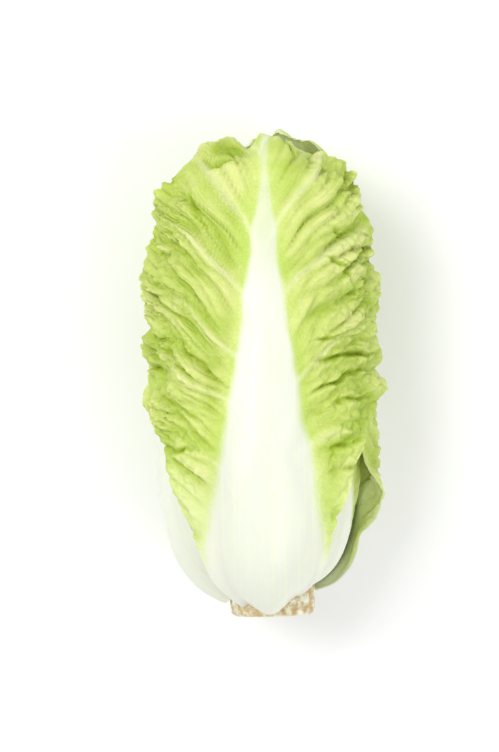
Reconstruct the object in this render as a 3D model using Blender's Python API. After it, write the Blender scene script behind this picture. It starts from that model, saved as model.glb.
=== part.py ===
# Napa cabbage, lying on its back with the cut stem towards -Y and its widest wrapper leaf facing up.
# Every leaf is laid over the ones inside it: its height above the heart is the sum of what it covers.
# On the heart, phi is the angle from the apex at +Y, and theta the turn about the axis from the top.
import math

import bmesh
import bpy
import numpy as np

# The heart, an egg with blunt ends that all leaves are wrapped round (metres)
HEART_RADIUS = 0.0288
HEART_HALF_LENGTH = 0.0922
HEART_TOP_BLUNTNESS = 4.2
HEART_BASE_BLUNTNESS = 3.9
HEART_TAPER = -0.08
HEART_SIDES = 32
HEART_RINGS = 20
HEART_FOLDS = 5
HEART_FOLD_TWIST = 0.9
HEART_FOLD_DEPTH = 0.0022

# The cut stem that every leaf grows from (metres)
STEM_RADIUS = 0.0215
STEM_TOP_RADIUS = 0.015
STEM_CUT = -0.1248
STEM_SIDES = 28
STEM_BEVEL = 0.0016
TOUCH_GAP = 0.0005

# The wrapper leaves, counted from the outermost (metres; angles in radians)
LEAF_COUNT = 11
LEAF_DIVERGENCE = math.radians(137.5)
LEAF_CLEARANCE = 0.0023
BLADE_THICKNESS = 0.0011

# The midrib, thick and wide at the base and thin at the tip, and the print it leaves on outer leaves
RIB_THICKNESS_OUTER = 0.0090
RIB_THICKNESS_INNER = 0.0050
RIB_TIP_SHARE = 0.12
RIB_HALF_ANGLE_BASE = 0.60
RIB_HALF_ANGLE_TIP = 0.06
RIB_FULL = 2.6
RIB_THIN = 0.2
RIB_PRINT_SPREAD = 1.9

# A leaf's outline: half-angles of its stalk and blade, and the distances from the apex where it changes
STALK_HALF_ANGLE = 0.86
BLADE_HALF_ANGLE_OUTER = 1.52
BLADE_HALF_ANGLE_INNER = 1.20
BLADE_START = 2.35
BLADE_FULL = 1.60
BASE_NEAREST = 1.9
BASE_FURTHEST = 3.1
TIP_OUTER = 0.42
TIP_INNER = -0.08
TIP_ROUNDING = 0.50
TIP_NARROWING = 0.16
TIP_NARROWING_LENGTH = 1.0
LOBE_DEPTH = 0.020
LOBE_WAVES = 9.0
PHASE_STEP = 1.7

# How far beyond the apex a leaf's own centre lies, at the apex, and where that has faded to nothing
OVERREACH = 1.1
OVERREACH_END = 1.7

# Past a leaf's edge, the angles over which the next leaf comes down from it, and over which the
# leaf below it is still pressed flat
STEP_SHOULDER = 0.15
STEP_FADE = 0.46
PRESS_SHOULDER = 0.12
PRESS_FADE = 0.34

# Pleats along the side veins, which start beside the midrib and above the stalk (metres)
VEIN_START = 2.8
VEIN_PAIRS = 6.5
VEIN_RISE = 0.03
VEIN_FAN = 0.48
VEIN_CURVE = 0.9
PLEAT_HEIGHT = 0.0048
PLEAT_COVERED = 0.15
PLEAT_INNER_EDGE = (0.25, 0.6)
PLEAT_LOWER_EDGE = (2.25, 1.75)

# The frilled margin, where it begins and how it waves (metres)
FRILL_HEIGHT = 0.0052
FRILL_EDGE = (0.66, 1.0)
FRILL_LOWER_EDGE = (2.9, 2.3)
FRILL_TIP_EDGE = (0.34, 0.0)
FRILL_WAVES = 6.5
FRILL_TIP_WAVES = 3.5
FRILL_MEAN = 0.55
FRILL_LAG = 2.4

# Mesh fineness: columns and rows of the outer and the inner leaves
OUTER_LEAVES = 6
OUTER_GRID = (16, 27)
INNER_GRID = (12, 18)
COLUMN_CROWDING = 0.85
BISECTIONS = 32

# How the head lies: a little flatter than it is wide, and pressed flat where it rests (metres)
DEPTH_TO_WIDTH = 0.92
AXIS_HEIGHT = 0.0488
AXIS_SHIFT = (0.0016, 0.0003)

COLOURS = {
    "leaf": (0.56, 0.70, 0.17, 1.0),
    "heart": (0.78, 0.80, 0.40, 1.0),
    "stem": (0.86, 0.84, 0.66, 1.0),
}
ROUGHNESS = 0.5


def smooth_step(low, high, value):
    """0 before low, 1 past high and a smooth change between; low may be the larger."""
    t = np.clip((value - low) / (high - low), 0.0, 1.0)
    return t * t * (3.0 - 2.0 * t)


def heart_outline(phi):
    """Radius and distance along the axis of the heart's surface."""
    s, c = np.sin(phi), np.cos(phi)
    bluntness = np.where(c > 0.0, HEART_TOP_BLUNTNESS, HEART_BASE_BLUNTNESS)
    scale = (np.abs(s) ** bluntness + np.abs(c) ** bluntness) ** (-1.0 / bluntness)
    return HEART_RADIUS * s * scale * (1.0 + HEART_TAPER * c), HEART_HALF_LENGTH * c * scale


def heart_section(phi):
    """Radius, distance along the axis and the outward normal's two parts, at phi."""
    step = 1e-4
    radius, along = heart_outline(phi)
    next_radius, next_along = heart_outline(phi + step)
    last_radius, last_along = heart_outline(phi - step)
    turn_r, turn_y = next_radius - last_radius, next_along - last_along
    length = np.hypot(turn_r, turn_y)
    return radius, along, -turn_y / length, turn_r / length


def placed(x, y, z):
    """From the head's own axis to where it lies."""
    return np.stack([x + AXIS_SHIFT[0], y + AXIS_SHIFT[1], z * DEPTH_TO_WIDTH + AXIS_HEIGHT], axis=-1)


def over_heart(phi, theta, height):
    """A point that stands height above the heart."""
    radius, along, normal_r, normal_y = heart_section(phi)
    reach = radius + normal_r * height
    return placed(reach * np.sin(theta), along + normal_y * height, reach * np.cos(theta))


def overreach(phi):
    """How far beyond the apex a leaf's own centre lies, seen from phi."""
    return OVERREACH * smooth_step(OVERREACH_END, 0.0, phi)


class Leaf:
    """One wrapper leaf. rank 0 is the outermost; share runs from 1 there to 0 at the innermost."""

    def __init__(self, rank):
        share = 1.0 - rank / (LEAF_COUNT - 1)
        self.name = f"leaf_{rank + 1:02d}"
        self.rank = rank
        self.turn = rank * LEAF_DIVERGENCE
        self.rib = RIB_THICKNESS_INNER + (RIB_THICKNESS_OUTER - RIB_THICKNESS_INNER) * share
        self.half_angle = BLADE_HALF_ANGLE_INNER + (BLADE_HALF_ANGLE_OUTER - BLADE_HALF_ANGLE_INNER) * share
        self.tip = TIP_INNER + (TIP_OUTER - TIP_INNER) * share
        self.grid = OUTER_GRID if rank < OUTER_LEAVES else INNER_GRID
        self.phase = PHASE_STEP * rank

    def half_width(self, along):
        """Half-angle of the leaf at along, its distance from the apex: stalk, blade, narrowed tip."""
        blade = smooth_step(BLADE_START, BLADE_FULL, along)
        width = STALK_HALF_ANGLE + (self.half_angle - STALK_HALF_ANGLE) * blade
        lobes = 1.0 + LOBE_DEPTH * np.sin(LOBE_WAVES * along + self.phase)
        narrowed = 1.0 - TIP_NARROWING * smooth_step(self.tip + TIP_NARROWING_LENGTH, self.tip, along)
        return width * lobes * narrowed

    def tip_at(self, u):
        """Where the leaf ends at u across it: a rounded tip, furthest at the midrib."""
        return self.tip + TIP_ROUNDING * u * u

    def from_head(self, phi, theta):
        """From the head's phi and theta to the leaf's own along and psi, polar about a point that
        moves beyond the apex near it, so that the tip can fold over the apex."""
        beyond = overreach(phi)
        p = phi * np.cos(theta - self.turn) + beyond
        q = phi * np.sin(theta - self.turn)
        return np.hypot(p, q) - beyond, np.arctan2(q, p)

    def to_head(self, along, psi):
        """The inverse of from_head, by bisection."""
        near, far = np.zeros_like(psi), np.full_like(psi, math.pi)
        for _ in range(BISECTIONS):
            phi = 0.5 * (near + far)
            p = (along + overreach(phi)) * np.cos(psi) - overreach(phi)
            q = (along + overreach(phi)) * np.sin(psi)
            outside = np.hypot(p, q) > phi
            near, far = np.where(outside, phi, near), np.where(outside, far, phi)
        return phi, self.turn + np.arctan2(q, p)

    def cover(self, along, psi, shoulder, fade):
        """1 over the whole leaf and a shoulder past its edges, and then fading to 0."""
        beside = smooth_step(shoulder + fade, shoulder, np.abs(psi) - self.half_width(along))
        beyond = smooth_step(shoulder + fade, shoulder, self.tip - along)
        return beside * beyond

    def thickness(self, along, psi, spread=1.0):
        """The thickness of the blade and its midrib."""
        low = smooth_step(RIB_THIN, RIB_FULL, along)
        half = spread * (RIB_HALF_ANGLE_TIP + (RIB_HALF_ANGLE_BASE - RIB_HALF_ANGLE_TIP) * low)
        bump = np.clip(1.0 - (psi / half) ** 2, 0.0, 1.0) ** 1.5
        raised = (self.rib - BLADE_THICKNESS) * (RIB_TIP_SHARE + (1.0 - RIB_TIP_SHARE) * low)
        return BLADE_THICKNESS + raised * bump

    def relief(self, along, psi, free):
        """Pleats along the side veins and a frilled margin, pressed flat where a leaf lies over them."""
        u = psi / self.half_width(along)
        v = (VEIN_START - along) / (VEIN_START - self.tip)
        across = np.abs(u) ** VEIN_CURVE
        vein = (v - VEIN_RISE * across) / (1.0 + VEIN_FAN * across)
        pleat = 0.5 + 0.5 * np.cos(2.0 * math.pi * VEIN_PAIRS * vein + self.phase)
        pleated = smooth_step(*PLEAT_INNER_EDGE, np.abs(u)) * smooth_step(*PLEAT_LOWER_EDGE, along)
        pressed = PLEAT_COVERED + (1.0 - PLEAT_COVERED) * free
        side = smooth_step(*FRILL_EDGE, np.abs(u)) * smooth_step(*FRILL_LOWER_EDGE, along)
        lag = self.phase + FRILL_LAG
        side_waves = FRILL_MEAN + (1.0 - FRILL_MEAN) * np.sin(2.0 * math.pi * FRILL_WAVES * v + lag)
        end = smooth_step(*FRILL_TIP_EDGE, along - self.tip_at(u))
        end_waves = FRILL_MEAN + (1.0 - FRILL_MEAN) * np.sin(2.0 * math.pi * FRILL_TIP_WAVES * u + self.phase)
        frill = np.maximum(side * side_waves, end * end_waves)
        return PLEAT_HEIGHT * pleat * pleated * pressed + FRILL_HEIGHT * frill * free


LEAVES = [Leaf(rank) for rank in range(LEAF_COUNT)]


def leaf_height(leaf, phi, theta):
    """Height of the leaf's outer face above the heart, and its thickness there."""
    height = np.zeros_like(phi)
    free = np.ones_like(phi)
    for other in LEAVES:
        along, psi = other.from_head(phi, theta)
        if other.rank > leaf.rank:
            layer = other.thickness(along, psi, RIB_PRINT_SPREAD) + LEAF_CLEARANCE
            height = height + layer * other.cover(along, psi, STEP_SHOULDER, STEP_FADE)
        elif other.rank < leaf.rank:
            free = free * (1.0 - other.cover(along, psi, PRESS_SHOULDER, PRESS_FADE))
    along, psi = leaf.from_head(phi, theta)
    thickness = leaf.thickness(along, psi)
    return height + LEAF_CLEARANCE + thickness + leaf.relief(along, psi, free), thickness


def base_of(leaf, u):
    """How far down each column of the leaf runs before its inner face meets the stem."""
    near, far = np.full_like(u, BASE_NEAREST), np.full_like(u, BASE_FURTHEST)
    for _ in range(BISECTIONS):
        along = 0.5 * (near + far)
        phi, theta = leaf.to_head(along, u * leaf.half_width(along))
        height, thickness = leaf_height(leaf, phi, theta)
        radius, _, normal_r, _ = heart_section(phi)
        outside = radius + normal_r * (height - thickness) > STEM_RADIUS + TOUCH_GAP
        near, far = np.where(outside, along, near), np.where(outside, far, along)
    return near


def slab(columns, rows):
    """A flat slab from -1 to 1 in x and y, both faces split alike, on diagonals that rise outwards."""
    mesh = bmesh.new()
    bmesh.ops.create_grid(mesh, x_segments=columns, y_segments=rows, size=1.0)
    for vertex in mesh.verts:
        vertex.co.y -= abs(vertex.co.x)
    bmesh.ops.triangulate(mesh, faces=mesh.faces[:], quad_method="SHORT_EDGE")
    for vertex in mesh.verts:
        vertex.co.y += abs(vertex.co.x)
    raised = bmesh.ops.extrude_face_region(mesh, geom=mesh.faces[:], use_keep_orig=True)
    raised_vertices = [v for v in raised["geom"] if isinstance(v, bmesh.types.BMVert)]
    bmesh.ops.translate(mesh, verts=raised_vertices, vec=(0, 0, 1))
    return mesh


def vertex_array(mesh):
    return np.array([v.co[:] for v in mesh.verts])


def move_vertices(mesh, points):
    for vertex, point in zip(mesh.verts, points):
        vertex.co = point
    mesh.normal_update()


def as_object(name, mesh, colour, collection):
    """Turns a bmesh into a named object with its own material."""
    bmesh.ops.recalc_face_normals(mesh, faces=mesh.faces[:])
    data = bpy.data.meshes.new(name)
    mesh.to_mesh(data)
    mesh.free()
    data.shade_smooth()
    material = bpy.data.materials.new(name)
    material.use_nodes = True
    shader = material.node_tree.nodes["Principled BSDF"]
    shader.inputs["Base Color"].default_value = COLOURS[colour]
    shader.inputs["Roughness"].default_value = ROUGHNESS
    data.materials.append(material)
    collection.objects.link(bpy.data.objects.new(name, data))


def add_leaf(leaf, collection):
    """A waved blade with its midrib, wrapped over the inner leaves and lifted where it meets the ground."""
    mesh = slab(*leaf.grid)
    flat = vertex_array(mesh)
    u = np.sin(flat[:, 0] * COLUMN_CROWDING) / math.sin(COLUMN_CROWDING)
    v, depth = 0.5 + 0.5 * flat[:, 1], flat[:, 2]
    base = base_of(leaf, u)
    along = base + (leaf.tip_at(u) - base) * v
    phi, theta = leaf.to_head(along, u * leaf.half_width(along))
    height, thickness = leaf_height(leaf, phi, theta)
    points = over_heart(phi, theta, height - depth * thickness)
    points[:, 2] += np.maximum(-over_heart(phi, theta, height)[:, 2], 0.0)
    move_vertices(mesh, points)
    as_object(leaf.name, mesh, "leaf", collection)


def add_heart(collection):
    """The tight inner head, with the edges of its own leaves wound round it."""
    mesh = bmesh.new()
    bmesh.ops.create_uvsphere(mesh, u_segments=HEART_SIDES, v_segments=HEART_RINGS, radius=1.0)
    x, y, z = vertex_array(mesh).T
    phi, theta = np.arccos(np.clip(z, -1.0, 1.0)), np.arctan2(x, y)
    winding = np.mod(theta / (2.0 * math.pi) * HEART_FOLDS + HEART_FOLD_TWIST * phi, 1.0)
    fold = smooth_step(0.0, 0.85, winding) * smooth_step(1.0, 0.9, winding)
    away_from_ends = smooth_step(0.0, 0.25, np.sin(phi))
    move_vertices(mesh, over_heart(phi, theta, -HEART_FOLD_DEPTH * fold * away_from_ends))
    as_object("heart", mesh, "heart", collection)


def add_stem(collection):
    """The stump under the heart, cut straight across."""
    top = -HEART_HALF_LENGTH - TOUCH_GAP
    mesh = bmesh.new()
    radii = {"radius1": STEM_RADIUS, "radius2": STEM_TOP_RADIUS}
    bmesh.ops.create_cone(mesh, cap_ends=True, segments=STEM_SIDES, depth=top - STEM_CUT, **radii)
    rim = [e for e in mesh.edges if all(v.co.z < 0 for v in e.verts)]
    bmesh.ops.bevel(mesh, geom=rim, offset=STEM_BEVEL, affect="EDGES", segments=2, profile=0.5, material=-1)
    x, y, z = vertex_array(mesh).T
    move_vertices(mesh, placed(x, z + 0.5 * (top + STEM_CUT), y))
    as_object("stem", mesh, "stem", collection)


def main():
    for obj in list(bpy.data.objects):
        bpy.data.objects.remove(obj)
    collection = bpy.data.collections.new("napa_cabbage")
    bpy.context.scene.collection.children.link(collection)
    add_stem(collection)
    add_heart(collection)
    for leaf in LEAVES:
        add_leaf(leaf, collection)


main()
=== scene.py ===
# Napa cabbage, lying on its back: every wrapper leaf with its midrib, side veins, pleats and frilled
# margin, the folded heart and the cut stem, on a pale floor in soft light.
# Every leaf is laid over the ones inside it: its height above the heart is the sum of what it covers.
# On the heart, phi is the angle from the apex at +Y, and theta the turn about the axis from the top.
import itertools
import math

import bmesh
import bpy
import numpy as np
from bpy.props import FloatProperty, FloatVectorProperty, PointerProperty
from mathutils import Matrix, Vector


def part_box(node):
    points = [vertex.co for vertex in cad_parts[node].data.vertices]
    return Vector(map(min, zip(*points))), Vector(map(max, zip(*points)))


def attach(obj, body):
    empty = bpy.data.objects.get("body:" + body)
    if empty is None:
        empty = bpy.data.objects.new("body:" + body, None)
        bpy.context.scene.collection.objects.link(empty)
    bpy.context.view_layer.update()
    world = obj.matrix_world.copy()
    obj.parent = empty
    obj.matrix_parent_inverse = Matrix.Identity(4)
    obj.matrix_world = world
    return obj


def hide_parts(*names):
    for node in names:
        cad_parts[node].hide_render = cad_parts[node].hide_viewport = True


bl_info = {
    "name": "Napa Cabbage",
    "version": (1, 0, 0),
    "blender": (4, 5, 0),
    "location": "View3D > Sidebar > Cabbage",
    "description": "Builds a head of napa cabbage leaf by leaf, with its heart, stem and stage",
    "category": "Object",
}

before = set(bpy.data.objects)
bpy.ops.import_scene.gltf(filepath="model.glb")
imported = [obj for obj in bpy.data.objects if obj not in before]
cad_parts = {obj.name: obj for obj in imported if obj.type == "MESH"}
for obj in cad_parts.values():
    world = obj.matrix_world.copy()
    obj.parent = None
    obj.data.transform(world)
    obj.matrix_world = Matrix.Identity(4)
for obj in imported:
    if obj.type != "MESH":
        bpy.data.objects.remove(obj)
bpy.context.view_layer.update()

# The heart, an egg with blunt ends that all leaves are wrapped round (metres)
HEART_RADIUS = 0.0288
HEART_HALF_LENGTH = 0.0922
HEART_TOP_BLUNTNESS = 4.2
HEART_BASE_BLUNTNESS = 3.9
HEART_TAPER = -0.08
HEART_SIDES = 120
HEART_RINGS = 90
HEART_FOLDS = 5
HEART_FOLD_TWIST = 0.9
HEART_FOLD_DEPTH = 0.0022
HEART_PUCKER_DEPTH = 0.0008
HEART_PLEATS = 6.0
HEART_SEED = 211

# How the heart's folds rise and drop, as shares of the way round to the next fold, and its marks
HEART_FOLD_RISE = (0.0, 0.85)
HEART_FOLD_DROP = (1.0, 0.97)
HEART_SMOOTH_ENDS = 0.25
HEART_PLEAT_SLANT = 0.3
HEART_WHITE_BASE = (2.2, 2.9)
HEART_WHITE_FOLD = (0.05, 0.0)
HEART_CRINKLED = 0.3
HEART_PALE = 0.5

# The cut stem that every leaf grows from (metres)
STEM_RADIUS = 0.0215
STEM_TOP_RADIUS = 0.015
STEM_SIDES = 128
STEM_RINGS = 72
STEM_RING_SHARES = (0.42, 0.50, 0.90)
STEM_BEVEL = 0.0016
STEM_DISH = 0.0012
STEM_SCAR_HEIGHT = 0.0007
STEM_SCAR_SPACING = 0.004
STEM_SCAR_WAVES = 1.6
STEM_SCAR_FADE = 0.06
STEM_UNEVEN_WAVES = 2.5
STEM_UNEVENNESS = 0.012
STEM_TAPER_FROM = 0.55
STEM_SEED = 301
TOUCH_GAP = 0.0005

# The wrapper leaves, counted from the outermost (metres; angles in radians)
LEAF_COUNT = 11
LEAF_DIVERGENCE = math.radians(137.5)
LEAF_CLEARANCE = 0.0023
BLADE_THICKNESS = 0.0011
MARGIN_THICKNESS = 0.0006
THIN_EDGE = (0.7, 1.0)
THIN_TIP_EDGE = (0.3, 0.0)
THIN_BESIDE_RIB = (1.0, 1.3)

# The midrib, thick and wide at the base and thin at the tip, and the print it leaves on outer leaves
RIB_THICKNESS_OUTER = 0.0090
RIB_THICKNESS_INNER = 0.0050
RIB_TIP_SHARE = 0.12
RIB_HALF_ANGLE_BASE = 0.60
RIB_HALF_ANGLE_TIP = 0.06
RIB_FULL = 2.6
RIB_THIN = 0.2
RIB_ROUNDNESS = 1.5
RIB_PRINT_SPREAD = 1.9

# A leaf's outline: half-angles of its stalk and blade, and the distances from the apex where it changes
STALK_HALF_ANGLE = 0.86
BLADE_HALF_ANGLE_OUTER = 1.52
BLADE_HALF_ANGLE_INNER = 1.20
BLADE_START = 2.35
BLADE_FULL = 1.60
BASE_NEAREST = 1.9
BASE_FURTHEST = 3.1
TIP_OUTER = 0.42
TIP_INNER = -0.08
TIP_ROUNDING = 0.50
TIP_NARROWING = 0.16
TIP_NARROWING_LENGTH = 1.0
LOBE_DEPTH = 0.020
LOBE_WAVES = 9.0
PHASE_STEP = 1.7

# How far beyond the apex a leaf's own centre lies, at the apex, and where that has faded to nothing
OVERREACH = 1.1
OVERREACH_END = 1.7

# Past a leaf's edge, the angles over which the next leaf comes down from it, and over which the
# leaf below it is still pressed flat
STEP_SHOULDER = 0.15
STEP_FADE = 0.46
PRESS_SHOULDER = 0.12
PRESS_FADE = 0.34

# Pleats along the side veins, which start beside the midrib and above the stalk
VEIN_START = 2.8
VEIN_PAIRS = 6.5
VEIN_RISE = 0.03
VEIN_FAN = 0.48
VEIN_CURVE = 0.9
PLEAT_COVERED = 0.15
PLEAT_INNER_EDGE = (0.25, 0.6)
PLEAT_LOWER_EDGE = (2.25, 1.75)

# The front leaf's side veins climb more steeply on the left than low on the right: rise and fan on
# its left and right, and the shares of its half-width between which they change over
FRONT_VEIN_RISE = (0.24, -0.22)
FRONT_VEIN_FAN = (0.44, 1.05)
CHANGE_OVER = (-0.1, 0.1)

# Creased pillows in each of two sizes: how many lie across a pleat, and how long they are (metres)
PILLOW_COUNTS = (2.0, 4.6)
PILLOW_LENGTHS = (0.046, 0.026)
PILLOW_SHARPNESS = (0.5, 0.45)
PILLOW_ROUNDNESS = 0.7
PILLOW_LOWER_EDGE = (2.75, 2.35)
BESIDE_RIB = 0.012
VEIN_WANDER = 0.16
VEIN_WANDER_SIZE = 0.026
SIDE_OFFSET = 57.0
CORD_HALF_WIDTH = 0.07
CORD_EDGE = (0.95, 0.2)

# Small puckers and wrinkles between the veins, and the shallow grooves along the midrib (metres)
PUCKER_SIZE = 0.0056
PUCKER_SHARPNESS = 0.5
PUCKER_INNER_EDGE = (0.05, 0.7)
WRINKLE_SIZE = 0.0026
GROOVE_SIZE = 0.0085
GROOVE_DRIFT = 0.8

# The white of the midrib, from its tip down: half-width, and the softness of its edge (metres)
HEAD_TOP = 0.125
WHITE_LENGTH = 0.211
WHITE_LOWEST = 1.2
WHITE_TIP = 0.0014
WHITE_SPREAD = 0.0295
WHITE_CURVE = 1.6
WHITE_SOFTNESS = (0.0010, 0.0052)
BASE_WHITENING = (-0.088, -0.118)

# The midrib's edge wavers, and spreads a little where each side vein leaves it (metres)
WHITE_WAVER = 0.0014
WHITE_WAVER_SIZE = 0.016
WHITE_VEIN_SPREAD = 0.0009
WHITE_VEIN_REACH = 0.3
NEAREST_APEX = 1e-3
WHITE_FAINT_TIP = (0.45, 0.05, 0.45)

# The front leaf's midrib sways from left at its base to right at its tip (metres)
FRONT_SWAY = (-0.0035, 0.0030)

# The blades grow paler towards their base: by how much on the front leaf's right and left, the
# distances from its middle between which that changes over (metres), and by how much on other leaves
PALE_BASE = (-0.030, -0.080)
PALE_BASE_FRONT = (0.30, 0.62)
PALE_BASE_SIDES = (0.02, -0.02)
PALE_BASE_OTHERS = 0.15

# The right front leaf's midrib leans towards the front and is narrower
LEANING_LEAF = 3
RIB_LEAN = 0.20
RIB_LEAN_NARROWING = 0.62

# The frilled margin, where it begins and how it waves
FRILL_EDGE = (0.66, 1.0)
FRILL_LOWER_EDGE = (2.9, 2.3)
FRILL_TIP_EDGE = (0.34, 0.0)
FRILL_WAVES = 6.5
FRILL_TIP_WAVES = 3.5
FRILL_MEAN = 0.55
FRILL_LAG = 2.4
RUFFLE_EDGE = (0.78, 1.0)
RUFFLE_WAVES = 14.0
RUFFLE_ACROSS = 5.0
FINER_RUFFLE = 1.9
FINER_RUFFLE_SHARE = 0.4
RUFFLE_ROUNDNESS = 1.5
RUFFLE_TIP_EDGE = (0.22, 0.0)
RUFFLE_SWAY = 0.030
RIM_FLATTENING = 0.45
NOTCH_WAVES = 20.0
NOTCH_DEPTH = 0.012
TIP_NOTCH_WAVES = 10.0
TIP_NOTCH_DEPTH = 0.024
NOTCH_ROW = 0.5

# How much calmer the front leaf's frill is at its lower left, and where that sets in along the head
FRONT_CALM_FRILL = 0.65
FRONT_CALM_RANGE = (0.015, -0.010)

# Where the front leaf's tip curls over outwards: place across, half-width and how far it goes (metres)
TIP_CURLS = [
    (-0.021, 0.007, 0.0022), (-0.003, 0.006, 0.0042), (0.008, 0.006, 0.0020), (0.027, 0.009, 0.0040),
    (-0.043, 0.010, 0.0035),
]
TIP_CURL_EDGE = (0.30, 0.05)
TIP_CURL_RISE = 0.8

# The front leaf is drawn in beside its stalk, which leaves its neighbours' white stalks in sight, and
# is wider at its left shoulder and narrower at its right: shares of its half-width, left and right
FRONT_DRAWN_IN = (0.13, 0.23)
FRONT_DRAWN_IN_RANGE = (1.55, 1.95)
FRONT_SHOULDERS = (0.12, -0.12)
FRONT_SHOULDER_RANGE = (1.05, 0.55)

# Sharp folds in the front leaf: half-width, depth, and points right of and above the head's middle (mm)
FOLDS = [
    (1.1, 3.2, ((24, 4), (41, 7), (56, 8))),
    (1.1, 3.0, ((24, -10), (35, -6), (43, -2), (52, 2))),
    (1.0, 2.4, ((32, -17), (39, -15), (50, -14))),
    (1.0, 1.4, ((25, 15), (33, 16), (44, 21))),
    (1.0, 2.0, ((33, 41), (44, 54), (48, 60), (53, 62))),
    (1.3, 1.5, ((33, 70), (39, 67), (47, 75))),
    (1.2, 2.6, ((25, 108), (31, 100), (28, 94))),
    (1.1, 2.0, ((51, 30), (49, 40))),
    (1.0, 1.6, ((50, 47), (54, 54))),
    (1.0, 2.0, ((51, -22), (54, -26))),
    (1.0, 1.6, ((31, -40), (37, -37), (46, -34))),
    (1.0, 1.4, ((38, -50), (45, -47))),
    (1.0, 2.2, ((-56, 49), (-48, 40), (-38, 29), (-26, 14))),
    (0.9, 1.8, ((-42, 56), (-33, 43), (-27, 33))),
    (0.9, 2.4, ((-42, 24), (-36, 14), (-32, 6), (-23, -2), (-18, -8))),
    (0.9, 1.8, ((-56, 28), (-47, 17), (-40, 8), (-30, -6))),
    (1.0, 2.2, ((-54, -34), (-45, -37), (-36, -36), (-29, -39))),
    (0.9, 1.4, ((-50, -12), (-40, -17), (-30, -24))),
    (1.0, 2.4, ((-54, 80), (-48, 84), (-43, 82))),
    (1.1, 2.6, ((-50, 96), (-44, 99), (-37, 98))),
    (1.0, 2.0, ((-60, 12), (-56, 17), (-51, 17))),
    (1.0, 2.0, ((-58, 0), (-54, 4), (-49, 4))),
    (1.0, 1.8, ((-61, 26), (-57, 31), (-52, 30))),
    (1.2, 2.6, ((-26, 104), (-18, 102), (-10, 104))),
    (3.4, 1.7, ((-19, 107), (-12, 109), (-5, 110))),
    (1.0, 1.8, ((-13, 112), (-6, 113))),
    (1.0, 1.8, ((12, 119), (16, 113), (17, 105))),
    (1.2, 2.4, ((38, 88), (46, 94), (50, 90))),
    (1.1, 2.2, ((38, 103), (42, 107), (47, 106))),
    (0.9, 1.6, ((-34, 92), (-28, 80), (-22, 66))),
    (0.9, 1.8, ((-46, 74), (-38, 68), (-30, 56))),
    (0.9, 1.4, ((30, 58), (38, 52), (42, 44))),
    (0.9, 1.4, ((44, 80), (50, 84), (54, 80))),
]
FOLD_RIDGE = 0.4
FOLD_RIDGE_OFFSET = 2.3
FOLD_RIDGE_WIDTH = 1.4
FOLD_WANDER = 0.0016
FOLD_WANDER_SIZE = 0.009
FOLD_ENDS = 0.25
FOLD_END_DEPTH = 0.35
MILLIMETRE = 0.001

# The height above the ground from which the front leaf is folded and crumpled, and the place along
# the head from which its tip is, wherever it lies (metres)
FOLDED_FROM_HEIGHT = (0.050, 0.070)
FOLDED_TIP = (0.098, 0.110)

# Places where the front leaf is more crumpled, or smoother: middle and radius (mm), and by how much
CRUMPLED = [
    (40, 98, 20, 0.8), (46, 56, 12, 0.6), (51, 40, 11, 0.5), (-44, 92, 15, 0.55), (-16, 109, 12, 0.8),
    (-50, 12, 12, 0.6), (-48, -22, 12, 0.5), (-50, 38, 11, 0.55), (-42, 66, 12, 0.4), (46, -62, 20, -0.4),
    (-46, 58, 10, 0.4), (-40, -30, 24, -0.45), (-34, 22, 20, -0.30), (-30, -65, 18, -0.5),
]
CRUMPLE_FADE = (1.3, 0.3)
CRUMPLE_UNEVENNESS = 0.5
CRUMPLE_PATCH_SIZE = 0.010

# Sunken pockets between the puckers, only where the front leaf is crumpled by these amounts
POCKET_EDGE = (0.62, 0.15)
POCKETED_FROM = (1.25, 1.8)
POCKET_DEPTH = 0.0012

# How much each form counts in the marks that the colours and the finest relief follow
# These paint shade into the creases, folds and pockets
LARGE_CREASE_SHADE = 0.6
SMALL_CREASE_SHADE = 0.4
FOLD_SHADE = 1.5
POCKET_SHADE = 1.4
# These paint a highlight on the raised crests of the pillows and puckers
LARGE_CREST_HIGHLIGHT = 0.45
SMALL_CREST_HIGHLIGHT = 0.30
PUCKER_CREST_HIGHLIGHT = 0.35
CRINKLED_BASE = 0.3
CRINKLED_MOST = 1.5
MARGIN_POWER = 4
MARGIN_TIP_EDGE = (0.25, 0.0)

# The first leaves wear the outer skin; how deep each skin colours its margin's deeper green, and how dark
# the shade it paints into its creases
OUTER_SKINNED = 6
OUTER_GREEN_AND_SHADE_DEPTHS = (0.12, 0.85)
INNER_GREEN_AND_SHADE_DEPTHS = (0.15, 0.6)
HEART_GREEN_AND_SHADE_DEPTHS = (0.0, 0.25)

# The leaf skin: noises by scale, detail and roughness, and what each range of values turns into
PATCH_NOISE = (45.0, 6.0, 0.62)
PATCH_RANGE = (0.36, 0.70, -0.1, 0.75)
# How much the raised crests are painted paler, as a highlight
CREST_HIGHLIGHT_SHARE = 0.55
VEIN_WIDTH = 0.11
VEIN_NARROWING = (0.05, 0.8, 1.0, 0.2)
VEIN_FADING = (0.9, 0.1, 0.0, 0.62)
# The inner face's paler colour is laid on strongly, to make up for the shade that falls on it
INNER_FACE_AND_LIGHT_SHARE = 0.9
FIBRE_SCALE = (120.0, 7.0, 1.0)
FIBRE_DETAIL = 4.0
FIBRE_RANGE = (0.44, 0.80, 0.0, 0.7)
CRINKLE_SCALE = (8.0, 105.0, 1.0)
CRINKLE_RANDOMNESS = 0.9
CRINKLE_RANGE = (0.0, 0.22)
CELL_SCALE = 420.0
CELL_RANGE = (0.0, 0.12)
GRAIN_NOISE = (900.0, 2.0, 0.55)
FINE_HEIGHT = 0.14
CRINKLE_HEIGHT = 0.8
VEIN_HEIGHT = 0.22
FIBRE_HEIGHT = 0.14
SKIN_ROUGHNESS = (0.0, 1.0, 0.5, 0.36)

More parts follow.
